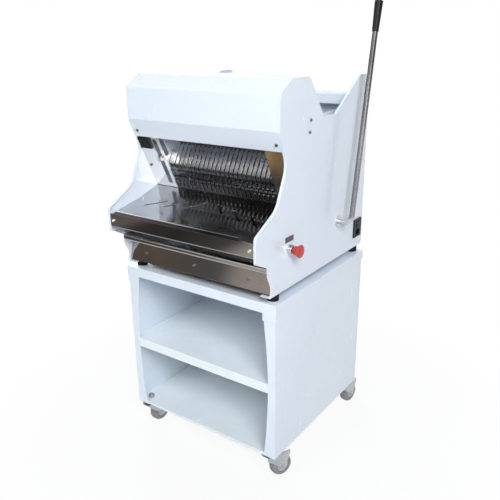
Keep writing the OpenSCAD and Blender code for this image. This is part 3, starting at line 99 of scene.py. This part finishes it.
class Nodes:
    """A new material and short ways to add its nodes."""

    def __init__(self, name):
        self.material = bpy.data.materials.new(name)
        self.material.use_nodes = True
        self.tree = self.material.node_tree
        self.shader = self.tree.nodes["Principled BSDF"]
        self.place = self.add("ShaderNodeTexCoord").outputs["Object"]

    def add(self, kind, values=None, **settings):
        return add_node(self.tree, kind, values, **settings)

    def link(self, a, b):
        self.tree.links.new(a, b)

    def fill(self, socket, value):
        """Give an input a number, a colour or another node's output."""
        if isinstance(value, (int, float)):
            socket.default_value = value
        elif isinstance(value, tuple):
            socket.default_value = (*value, 1)
        else:
            self.link(value, socket)

    def noise(self, scale, detail, rough, stretch=None):
        node = self.add("ShaderNodeTexNoise", {"Scale": scale, "Detail": detail, "Roughness": rough})
        place = self.place
        if stretch:
            mapping = self.add("ShaderNodeMapping", {"Scale": stretch})
            self.link(place, mapping.inputs["Vector"])
            place = mapping.outputs["Vector"]
        self.link(place, node.inputs["Vector"])
        return node.outputs["Fac"]

    def span(self, value, low, high, to_low, to_high):
        """A value between low and high, mapped to another range and held at its ends."""
        ends = {"From Min": low, "From Max": high, "To Min": to_low, "To Max": to_high}
        node = self.add("ShaderNodeMapRange", ends)
        self.link(value, node.inputs["Value"])
        return node.outputs["Result"]

    def math(self, operation, a, b):
        node = self.add("ShaderNodeMath", operation=operation)
        self.fill(node.inputs[0], a)
        self.fill(node.inputs[1], b)
        return node.outputs["Value"]

    def vector(self, operation, a, b):
        node = self.add("ShaderNodeVectorMath", operation=operation)
        self.link(a, node.inputs[0])
        if isinstance(b, (tuple, Vector)):
            node.inputs[1].default_value = b
        elif b is not None:
            self.link(b, node.inputs[1])
        return node.outputs

    def mix(self, share, a, b):
        node = self.add("ShaderNodeMix", data_type="RGBA")
        for key, value in (("Factor", share), ("A", a), ("B", b)):
            self.fill([s for s in node.inputs if s.name == key and s.enabled][0], value)
        return [s for s in node.outputs if s.enabled][0]

    def edges(self, radius):
        """A rounded normal, and a mask that is 1 along sharp edges."""
        bevel = self.add("ShaderNodeBevel", {"Radius": radius}, samples=BEVEL_SAMPLES)
        geometry = self.add("ShaderNodeNewGeometry")
        apart = self.vector("DOT_PRODUCT", bevel.outputs["Normal"], geometry.outputs["Normal"])
        return bevel.outputs["Normal"], self.span(apart["Value"], *EDGE_BAND, 0, 1)

    def bump(self, height, strength, distance, normal=None):
        node = self.add("ShaderNodeBump", {"Strength": strength, "Distance": distance})
        self.link(height, node.inputs["Height"])
        if normal:
            self.link(normal, node.inputs["Normal"])
        return node.outputs["Normal"]

    def set(self, **values):
        """Fill the shader's inputs, whose names have _ for a space, and return the material."""
        for key, value in values.items():
            self.fill(self.shader.inputs[key.replace("_", " ")], value)
        return self.material


# Materials. A noise has a scale, a detail and a roughness, and its band is the range in which its
# pattern goes from none to full. Radii and depths are in metres.
CLOUD_NOISE = (2.6, 4, 0.6)
CLOUD_BAND = (0.35, 0.70)
CLOUD_SHADE = 0.955
PEEL_NOISE = (420, 2, 0.5)
SCUFF_NOISE = (34, 5, 0.7)
SCUFF_STRETCH = (1, 1, 0.35)
SCUFF_BAND = (0.62, 0.74)
WEAR_NOISE = (46, 4, 0.65)
WEAR_BAND = (0.50, 0.72)
GRAIN_BAND = (0.30, 0.70)
PAINT_EDGE_R = 0.0012
PAINT_ROUGH = 0.24
WORN_PAINT = (0.62, 0.66, 0.70)

LINE_NOISE = (1, 5, 0.75)
LINE_BAND = (0.42, 0.75)
LINE_SHARE = 0.35
LINE_LIGHT = 1.22
LINE_DEPTH = 0.0002
STREAK_BAND = (0.30, 0.75)
SMEAR_NOISE = (5.5, 4, 0.6)
SMEAR_DULL = 0.03
PATCH_BAND = (0.36, 0.68)
STEEL_EDGE_R = 0.0008
RUBBED_STEEL = (0.86, 0.86, 0.86)
# How much of a blend's far colour shows at its end
BLEND_SHARE = 0.92
# Half the width of the change to a colour below a height or behind a depth
BELOW_BLUR = 0.006
BEHIND_BLUR = 0.002

CAST_DETAIL = (4, 0.6)
CAST_PATCH_NOISE = (18, 4, 0.6)
CAST_PATCH_SHADE = 0.80
CAST_PATCH_DULL = 0.05
CAST_DEPTH = 0.0003
CAST_EDGE_R = 0.0007


def shaded(colour, share, lift=0):
    return tuple(min(1, c * share + lift) for c in colour)


def paint(name, colour):
    """Powder paint: faint clouds of tone, orange peel, dull scuffs and worn edges."""
    n = Nodes(name)
    normal, edge = n.edges(PAINT_EDGE_R)
    clouds = n.span(n.noise(*CLOUD_NOISE), *CLOUD_BAND, 0, 1)
    peel = n.noise(*PEEL_NOISE)
    scuffs = n.span(n.noise(*SCUFF_NOISE, SCUFF_STRETCH), *SCUFF_BAND, 0, 0.5)
    tone = n.mix(clouds, colour, shaded(colour, CLOUD_SHADE))
    wear = n.math("MULTIPLY", edge, n.span(n.noise(*WEAR_NOISE), *WEAR_BAND, 0, 0.42))
    tone = n.mix(wear, tone, WORN_PAINT)
    gloss = n.span(peel, *GRAIN_BAND, PAINT_ROUGH - 0.04, PAINT_ROUGH + 0.05)
    gloss = n.math("ADD", gloss, n.math("MULTIPLY", scuffs, 0.18))
    return n.set(Base_Color=tone, Roughness=gloss, Normal=n.bump(peel, 0.06, 0.0003, normal),
                 Coat_Weight=0.25, Coat_Roughness=0.08)


def steel(name, colour, stretch, rough, streak, tint=0.8, bump=0.03, rubbed=0.55, below=None,
          behind=None, upward=None, rightward=None):
    """Polished metal: fine lines along one way, smears of tone, brighter rubbed edges.

    below = (height, colour) paints the part under that height in metres another colour, and
    behind = (depth, colour) the part behind that depth. upward = (low, high, colour) blends to a
    colour towards the top, and rightward = (from, to, colour) towards the right. Most pieces use
    these for painted reflections, painted highlights and painted shade in the colour.
    """
    n = Nodes(name)
    normal, edge = n.edges(STEEL_EDGE_R)
    lines = n.noise(*LINE_NOISE, stretch)
    smears = n.span(n.noise(*SMEAR_NOISE), *PATCH_BAND, 0, 1)
    tone = n.mix(smears, colour, shaded(colour, tint))
    tone = n.mix(n.span(lines, *LINE_BAND, 0, LINE_SHARE), tone, shaded(colour, LINE_LIGHT))
    spot = n.add("ShaderNodeSeparateXYZ")
    n.link(n.place, spot.inputs["Vector"])
    for axis, blend in (("Z", upward), ("X", rightward)):
        if blend:
            start, stop, far = blend
            tone = n.mix(n.span(spot.outputs[axis], start, stop, 0, BLEND_SHARE), tone, far)
    if below:
        height, lower = below
        share = n.span(spot.outputs["Z"], height - BELOW_BLUR, height + BELOW_BLUR, 1, 0)
        tone = n.mix(share, tone, lower)
    if behind:
        depth, inner = behind
        share = n.span(spot.outputs["Y"], depth - BEHIND_BLUR, depth + BEHIND_BLUR, 0, 1)
        tone = n.mix(share, tone, inner)
    tone = n.mix(n.math("MULTIPLY", edge, rubbed), tone, RUBBED_STEEL)
    gloss = n.span(lines, *STREAK_BAND, rough, rough + streak)
    gloss = n.math("ADD", gloss, n.math("MULTIPLY", smears, SMEAR_DULL))
    return n.set(Base_Color=tone, Metallic=1.0, Roughness=gloss,
                 Normal=n.bump(lines, bump, LINE_DEPTH, normal))


def cast(name, colour, rough, metallic=0.0, grain_scale=260, bump=0.25, rubbed=0.45, specular=0.5):
    """A grained surface: moulded plastic, rubber, cast or plated metal."""
    n = Nodes(name)
    normal, edge = n.edges(CAST_EDGE_R)
    grain = n.noise(grain_scale, *CAST_DETAIL)
    patches = n.span(n.noise(*CAST_PATCH_NOISE), *PATCH_BAND, 0, 1)
    tone = n.mix(patches, colour, shaded(colour, CAST_PATCH_SHADE))
    tone = n.mix(n.math("MULTIPLY", edge, rubbed), tone, shaded(colour, 1.5, 0.03))
    gloss = n.span(grain, *GRAIN_BAND, rough - 0.07, rough + 0.08)
    gloss = n.math("ADD", gloss, n.math("MULTIPLY", patches, CAST_PATCH_DULL))
    return n.set(Base_Color=tone, Metallic=metallic, Roughness=gloss, Specular_IOR_Level=specular,
                 Normal=n.bump(grain, bump, CAST_DEPTH, normal))


# Stretches of the fine lines in steel
ALONG_X = (5, 700, 700)
ALONG_Z = (700, 700, 5)
ROUND = (300, 300, 300)

# One finish for each of the row's material slots
STAINLESS = (0.48, 0.465, 0.455)
finish = {
    "white_paint": paint("white_paint", (0.83, 0.90, 0.985)),
    "stainless": steel("stainless", STAINLESS, ALONG_X, 0.035, 0.05, bump=0.015),
    "chrome": steel("chrome", (0.58, 0.60, 0.63), ALONG_Z, 0.08, 0.08, 0.85),
    "zinc": cast("zinc", (0.50, 0.535, 0.56), 0.26, 1.0, 300, 0.10),
    "grey_tyre": cast("grey_tyre", (0.40, 0.39, 0.40), 0.45, 0.0, 240, 0.25),
    "black_rubber": cast("black_rubber", (0.006, 0.006, 0.007), 0.55, rubbed=0.15, specular=0.2),
    "black_plastic": cast("black_plastic", (0.007, 0.007, 0.009), 0.30, 0.0, 420, 0.15,
                          rubbed=0.2, specular=0.15),
    "red_plastic": cast("red_plastic", (0.60, 0.036, 0.026), 0.28, 0.0, 500, 0.05),
    "alloy": steel("alloy", (0.66, 0.67, 0.68), ALONG_X, 0.26, 0.12),
    "cast_iron": cast("cast_iron", (0.16, 0.165, 0.17), 0.5, 0.6, 180, 0.4),
    "motor_paint": cast("motor_paint", (0.10, 0.16, 0.22), 0.4, 0.0, 160, 0.3),
    "guide_plastic": cast("guide_plastic", (0.74, 0.74, 0.70), 0.45, 0.0, 300, 0.1),
    "blade_steel": steel("blade_steel", (0.30, 0.30, 0.305), ALONG_Z, 0.20, 0.12),
    "screw_steel": steel("screw_steel", (0.50, 0.50, 0.51), ROUND, 0.24, 0.12),
}

# Pieces that look different from the rest of their slot: most of them carry painted reflections, painted
# highlights and painted shade in their colour, and the wheels their own moulded look
# A lighter copy of the white paint for the stand's shelf, floor and back: painted light that brightens
# the compartments
inner_paint_with_painted_light = paint("white_paint_inner_painted_light", (0.895, 0.965, 1.0))
own_finish_and_painted_light = {
    "stand_shelf": inner_paint_with_painted_light,
    "stand_floor": inner_paint_with_painted_light,
    "stand_back": inner_paint_with_painted_light,
    # The drawer's inside, behind its front, is painted near black: painted shade
    "crumb_drawer": steel("stainless_drawer", STAINLESS, ALONG_X, 0.045, 0.05, bump=0.015,
                          behind=(-0.235, (0.05, 0.048, 0.046))),
    "drawer_screws": steel("dull_screw", (0.22, 0.21, 0.20), ROUND, 0.22, 0.12, rubbed=0.2),
    # The left guard plate's pale steel is a painted reflection of white surroundings
    "guard_plate_left": steel("stainless_bright", (0.76, 0.75, 0.745), ALONG_Z, 0.12, 0.10),
    # The right guard plate's brown steel, orange towards the top, is a painted reflection
    "guard_plate_right": steel("stainless_brown", (0.26, 0.235, 0.205), ALONG_Z, 0.12, 0.10,
                               upward=(0.975, 1.04, (0.88, 0.59, 0.28))),
    # The comb's dark nose and pale upper part are painted reflections
    "hold_down_comb": steel("stainless_comb", (0.15, 0.147, 0.147), ALONG_X, 0.18, 0.10, rubbed=0.3,
                            upward=(0.985, 1.03, (0.80, 0.80, 0.81))),
    # The lower comb's near black steel is a painted reflection of the dark inside
    "outfeed_comb": steel("stainless_low_comb", (0.085, 0.083, 0.085), ALONG_X, 0.14, 0.10, rubbed=0.2),
    # The bar's pale elbow is a painted highlight, and its near black top a painted reflection
    "lever_bar": steel("bar_steel", (0.27, 0.27, 0.275), ALONG_Z, 0.22, 0.12, 0.75, rubbed=0,
                       below=(0.812, (0.60, 0.62, 0.65)), upward=(1.05, 1.30, (0.05, 0.049, 0.049))),
    # The tray's darker right part is a painted reflection of the dark combs
    "discharge_tray": steel("stainless_tray", (0.56, 0.56, 0.575), ALONG_X, 0.08, 0.06, 0.85, bump=0.008,
                            rubbed=0.3, rightward=(-0.03, 0.10, (0.105, 0.102, 0.108))),
    # The base pan's near black steel is painted shade in the slot under the drawer
    "base_pan": steel("painted_shade_steel", (0.075, 0.062, 0.055), ALONG_X, 0.30, 0.12),
    "cover_screws": steel("dark_screw", (0.16, 0.16, 0.165), ROUND, 0.22, 0.12, rubbed=0.2,
                          below=(0.90, (0.80, 0.80, 0.80))),
}

# Wheels: each castor's turn in degrees, and what lies at which share of the wheel's radius
CASTOR_YAWS = {
    "castor_wheel_front_right": 68,
    "castor_wheel_front_left": 85,
    "castor_wheel_rear_right": 82,
    "castor_wheel_rear_left": 80,
}
HUB_END = (0.56, 0.60)
SEAM_START = (0.53, 0.58)
SEAM_END = (0.60, 0.66)
TREAD_START = (0.90, 0.94)
# The ribs' spacing in metres, and the range of their wave that is dark
RIB_STEP = 0.0045
RIB_BAND = (0.2, 0.9)
RIB_SHARE = 0.7
SEAM_SHARE = 0.8
TYRE_GRAIN_NOISE = (240, 4, 0.6)
TYRE_PATCH_NOISE = (26, 4, 0.6)
RUBBER = (0.30, 0.295, 0.30)
DARK_RUBBER = (0.19, 0.187, 0.19)
HUB = (0.52, 0.52, 0.52)
DARK_HUB = (0.42, 0.42, 0.425)
RIB_GAP = (0.07, 0.069, 0.07)
SEAM = (0.06, 0.06, 0.06)


def tyre(name, node, yaw):
    """A moulded wheel: paler hub, dark seam, grey tread with fine ribs."""
    n = Nodes(name)
    low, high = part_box(node)
    centre = (Vector(low) + Vector(high)) / 2
    radius = (high[2] - low[2]) / 2
    axis = (-math.sin(math.radians(yaw)), math.cos(math.radians(yaw)), 0)
    apart = n.vector("SUBTRACT", n.place, centre)["Vector"]
    out = n.vector("CROSS_PRODUCT", apart, axis)["Vector"]
    reach = n.vector("LENGTH", out, None)["Value"]
    share = n.math("DIVIDE", reach, radius)
    across = n.vector("DOT_PRODUCT", apart, axis)["Value"]
    grain = n.noise(*TYRE_GRAIN_NOISE)
    patches = n.span(n.noise(*TYRE_PATCH_NOISE), *PATCH_BAND, 0, 1)
    ribs = n.math("SINE", n.math("MULTIPLY", across, 2 * math.pi / RIB_STEP), 0)
    on_tread = n.span(share, *TREAD_START, 0, 1)
    lines = n.math("MULTIPLY", n.span(ribs, *RIB_BAND, 0, RIB_SHARE), on_tread)
    tread = n.mix(lines, n.mix(patches, RUBBER, DARK_RUBBER), RIB_GAP)
    tone = n.mix(n.span(share, *HUB_END, 0, 1), n.mix(patches, HUB, DARK_HUB), tread)
    seam = n.math("MULTIPLY", n.span(share, *SEAM_START, 0, 1), n.span(share, *SEAM_END, 1, 0))
    tone = n.mix(n.math("MULTIPLY", seam, SEAM_SHARE), tone, SEAM)
    gloss = n.span(grain, *GRAIN_BAND, 0.38, 0.55)
    height = n.math("SUBTRACT", n.math("MULTIPLY", grain, 0.3), n.math("ADD", lines, seam))
    return n.set(Base_Color=tone, Roughness=gloss, Normal=n.bump(height, 0.35, 0.0006))


for node, yaw in CASTOR_YAWS.items():
    own_finish_and_painted_light[node] = tyre("tyre_" + node.split("_", 2)[2], node, yaw)


def dress(thing, material):
    thing.data.materials.clear()
    thing.data.materials.append(material)


for row in record["subparts"]:
    dress(nodes[row["node"]], own_finish_and_painted_light.get(row["node"], finish[row["material_slot"]]))


# The one piece that the solids leave out, a plate on the right panel, in metres
PLATE_PLACE = at(287, -197, 818)
PLATE_W = 0.046
PLATE_H = 0.017
PLATE_T = 0.0008
PLATE_CORNER_R = 0.0015
PLATE_CORNER_STEPS = 5
# Share of the plate's thickness that its face is drawn in at the rim
PLATE_RIM_SHARE = 0.4
CORNERS = ((1, 1, 0), (-1, 1, 90), (-1, -1, 180), (1, -1, 270))


def piece(name, build, body, material):
    mesh = bpy.data.meshes.new(name)
    work = bmesh.new()
    build(work)
    bmesh.ops.recalc_face_normals(work, faces=work.faces)
    work.to_mesh(mesh)
    work.free()
    thing = bpy.data.objects.new(name, mesh)
    scene.collection.objects.link(thing)
    dress(thing, material)
    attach(thing, body)


def rounded_plate(work):
    """A thin plate with round corners that faces right, its back at PLATE_PLACE."""
    ring = []
    for sy, sz, start in CORNERS:
        for k in range(PLATE_CORNER_STEPS + 1):
            a = math.radians(start + 90 * k / PLATE_CORNER_STEPS)
            ring.append((sy * (PLATE_W / 2 - PLATE_CORNER_R) + PLATE_CORNER_R * math.cos(a),
                         sz * (PLATE_H / 2 - PLATE_CORNER_R) + PLATE_CORNER_R * math.sin(a)))
    inset = min(PLATE_T, PLATE_CORNER_R) * PLATE_RIM_SHARE
    layers = []
    for out, cut in ((0, 0), (PLATE_T - inset, 0), (PLATE_T, inset)):
        wide = 1 - 2 * cut / PLATE_W
        tall = 1 - 2 * cut / PLATE_H
        layers.append([work.verts.new(PLATE_PLACE + Vector((out, y * wide, z * tall))) for y, z in ring])
    count = len(ring)
    for low, high in zip(layers, layers[1:]):
        for k in range(count):
            work.faces.new((low[k], low[(k + 1) % count], high[(k + 1) % count], high[k]))
    work.faces.new(layers[-1])
    work.faces.new(layers[0][::-1])


label_plastic = cast("label_plastic", (0.12, 0.10, 0.13), 0.4, 0.0, 500, 0.08, specular=0.2)
piece("blank_plate", rounded_plate, "frame", label_plastic)


# Background and floor: white where they are seen, dim where they light the part
WHITE = (1, 1, 1, 1)
SKY_TONE = (0.95, 0.97, 1, 1)
SKY_STRENGTH = 0.035
FLOOR_SIZE = 24
FLOOR_Z = -0.0005
FLOOR_TONE = (0.86, 0.86, 0.86, 1)
FLOOR_ROUGH = 0.9
# The floor's shadows show a little near the part: distances in metres and shares of white
NEAR = 0.4
FAR = 1.3
NEAR_WHITE = 0.89


def seen_rays(tree):
    """1 for the rays of the camera, of mirrors and through glass, and 0 for the rest."""
    path = add_node(tree, "ShaderNodeLightPath")
    seen = path.outputs["Is Camera Ray"]
    for kind in ("Is Glossy Ray", "Is Transmission Ray"):
        either = add_node(tree, "ShaderNodeMath", operation="MAXIMUM")
        tree.links.new(seen, either.inputs[0])
        tree.links.new(path.outputs[kind], either.inputs[1])
        seen = either.outputs[0]
    return seen


def join(tree, share, first, second, surface):
    """Mix two shaders by a share into a tree's surface."""
    both = add_node(tree, "ShaderNodeMixShader")
    tree.links.new(share, both.inputs["Fac"])
    tree.links.new(first.outputs[0], both.inputs[1])
    tree.links.new(second.outputs[0], both.inputs[2])
    tree.links.new(both.outputs[0], surface)


def light_world():
    world = bpy.data.worlds.new("studio")
    scene.world = world
    world.use_nodes = True
    tree = world.node_tree
    tree.nodes.clear()
    lit = add_node(tree, "ShaderNodeBackground", {"Color": SKY_TONE, "Strength": SKY_STRENGTH})
    seen = add_node(tree, "ShaderNodeBackground", {"Color": WHITE, "Strength": 1})
    end = add_node(tree, "ShaderNodeOutputWorld")
    join(tree, seen_rays(tree), lit, seen, end.inputs["Surface"])


def floor_material():
    material = bpy.data.materials.new("floor")
    material.use_nodes = True
    tree = material.node_tree
    shader = tree.nodes["Principled BSDF"]
    shader.inputs["Base Color"].default_value = FLOOR_TONE
    shader.inputs["Roughness"].default_value = FLOOR_ROUGH
    shader.inputs["Specular IOR Level"].default_value = 0
    glow = add_node(tree, "ShaderNodeEmission", {"Color": WHITE, "Strength": 1})
    place = add_node(tree, "ShaderNodeNewGeometry")
    away = add_node(tree, "ShaderNodeVectorMath", operation="LENGTH")
    ends = {"From Min": NEAR, "From Max": FAR, "To Min": NEAR_WHITE, "To Max": 1}
    white = add_node(tree, "ShaderNodeMapRange", ends, interpolation_type="SMOOTHSTEP")
    share = add_node(tree, "ShaderNodeMath", operation="MULTIPLY")
    tree.links.new(place.outputs["Position"], away.inputs[0])
    tree.links.new(away.outputs["Value"], white.inputs["Value"])
    tree.links.new(seen_rays(tree), share.inputs[0])
    tree.links.new(white.outputs["Result"], share.inputs[1])
    join(tree, share.outputs[0], shader, glow, tree.nodes["Material Output"].inputs["Surface"])
    return material


light_world()
bpy.ops.mesh.primitive_plane_add(size=FLOOR_SIZE, location=(0, 0, FLOOR_Z))
floor = bpy.context.object
floor.name = "floor"
dress(floor, floor_material())

# Lamps: name, place, aim, size and power in watts
COOL = (0.945, 0.97, 1.0)
MIDDLE = (0, 0, 0.75)
LOW = (0, 0, 0.4)
LAMPS = (
    ("key", (2.6, -2.4, 3.0), MIDDLE, (1.8, 1.8), 140),
    ("front", (0.3, -3.0, 3.2), MIDDLE, (1.8, 1.8), 7),
    ("fill", (-0.6, -2.8, 2.3), LOW, (1.5, 1.2), 27),
    ("top", (0.3, 0.9, 4.0), MIDDLE, (2.4, 2.4), 30),
    ("behind", (-2.8, 2.2, 2.0), MIDDLE, (2.0, 2.0), 75),
)


def lamp(name, place, aim, size, power):
    data = bpy.data.lights.new(name, "AREA")
    data.shape = "RECTANGLE"
    data.size, data.size_y = size
    data.energy = power
    data.color = COOL
    thing = bpy.data.objects.new(name, data)
    scene.collection.objects.link(thing)
    thing.location = place
    thing.rotation_euler = (Vector(aim) - Vector(place)).to_track_quat("-Z", "Y").to_euler()


for row in LAMPS:
    lamp(*row)

# Studio cards that glow with their tones and show only in mirrors, painted reflections for the steel:
# corners in metres, and tones at shares of the way from left to right
FLOOR_CARD = ((-3.4, -4.2, 0.004), (0.2, -4.2, 0.004), (0.2, -0.75, 0.004), (-3.4, -0.75, 0.004))
FLOOR_CARD_TONES = (
    (0.00, (0.12, 0.11, 0.10)),
    (0.26, (0.11, 0.10, 0.09)),
    (0.31, (0.18, 0.14, 0.125)),
    (0.36, (0.015, 0.014, 0.014)),
    (0.47, (0.008, 0.008, 0.008)),
    (0.59, (0.045, 0.043, 0.045)),
    (0.65, (0.55, 0.52, 0.49)),
    (1.00, (0.60, 0.56, 0.54)),
)
WALL_CARD = ((-3.6, -2.9, 0.2), (-1.3, -3.95, 0.2), (-1.3, -3.95, 1.8), (-3.6, -2.9, 1.8))
WALL_CARD_TONES = (
    (0.00, (0.14, 0.105, 0.08)),
    (0.40, (0.10, 0.075, 0.05)),
    (0.52, (0.085, 0.085, 0.08)),
    (0.60, (0.085, 0.085, 0.085)),
    (0.68, (0.50, 0.44, 0.41)),
    (1.00, (0.60, 0.53, 0.48)),
)


def card(name, corners, tones):
    """A studio card that glows and only mirrors see, a painted reflection in the steel, its tones
    blended from left to right.
    """
    mesh = bpy.data.meshes.new(name)
    mesh.from_pydata(corners, [], [tuple(range(len(corners)))])
    thing = bpy.data.objects.new(name, mesh)
    scene.collection.objects.link(thing)
    material = bpy.data.materials.new(name)
    material.use_nodes = True
    tree = material.node_tree
    shader = tree.nodes["Principled BSDF"]
    shader.inputs["Base Color"].default_value = (0, 0, 0, 1)
    shader.inputs["Emission Strength"].default_value = 1
    place = add_node(tree, "ShaderNodeTexCoord")
    along = add_node(tree, "ShaderNodeSeparateXYZ")
    ramp = add_node(tree, "ShaderNodeValToRGB")
    while len(ramp.color_ramp.elements) < len(tones):
        ramp.color_ramp.elements.new(1)
    for stop, (share, colour) in zip(ramp.color_ramp.elements, tones):
        stop.position = share
        stop.color = (*colour, 1)
    tree.links.new(place.outputs["Generated"], along.inputs["Vector"])
    tree.links.new(along.outputs["X"], ramp.inputs["Fac"])
    tree.links.new(ramp.outputs["Color"], shader.inputs["Emission Color"])
    dress(thing, material)
    thing.visible_camera = False
    thing.visible_diffuse = False
    thing.visible_transmission = False
    thing.visible_shadow = False


card("floor_card", FLOOR_CARD, FLOOR_CARD_TONES)
card("wall_card", WALL_CARD, WALL_CARD_TONES)
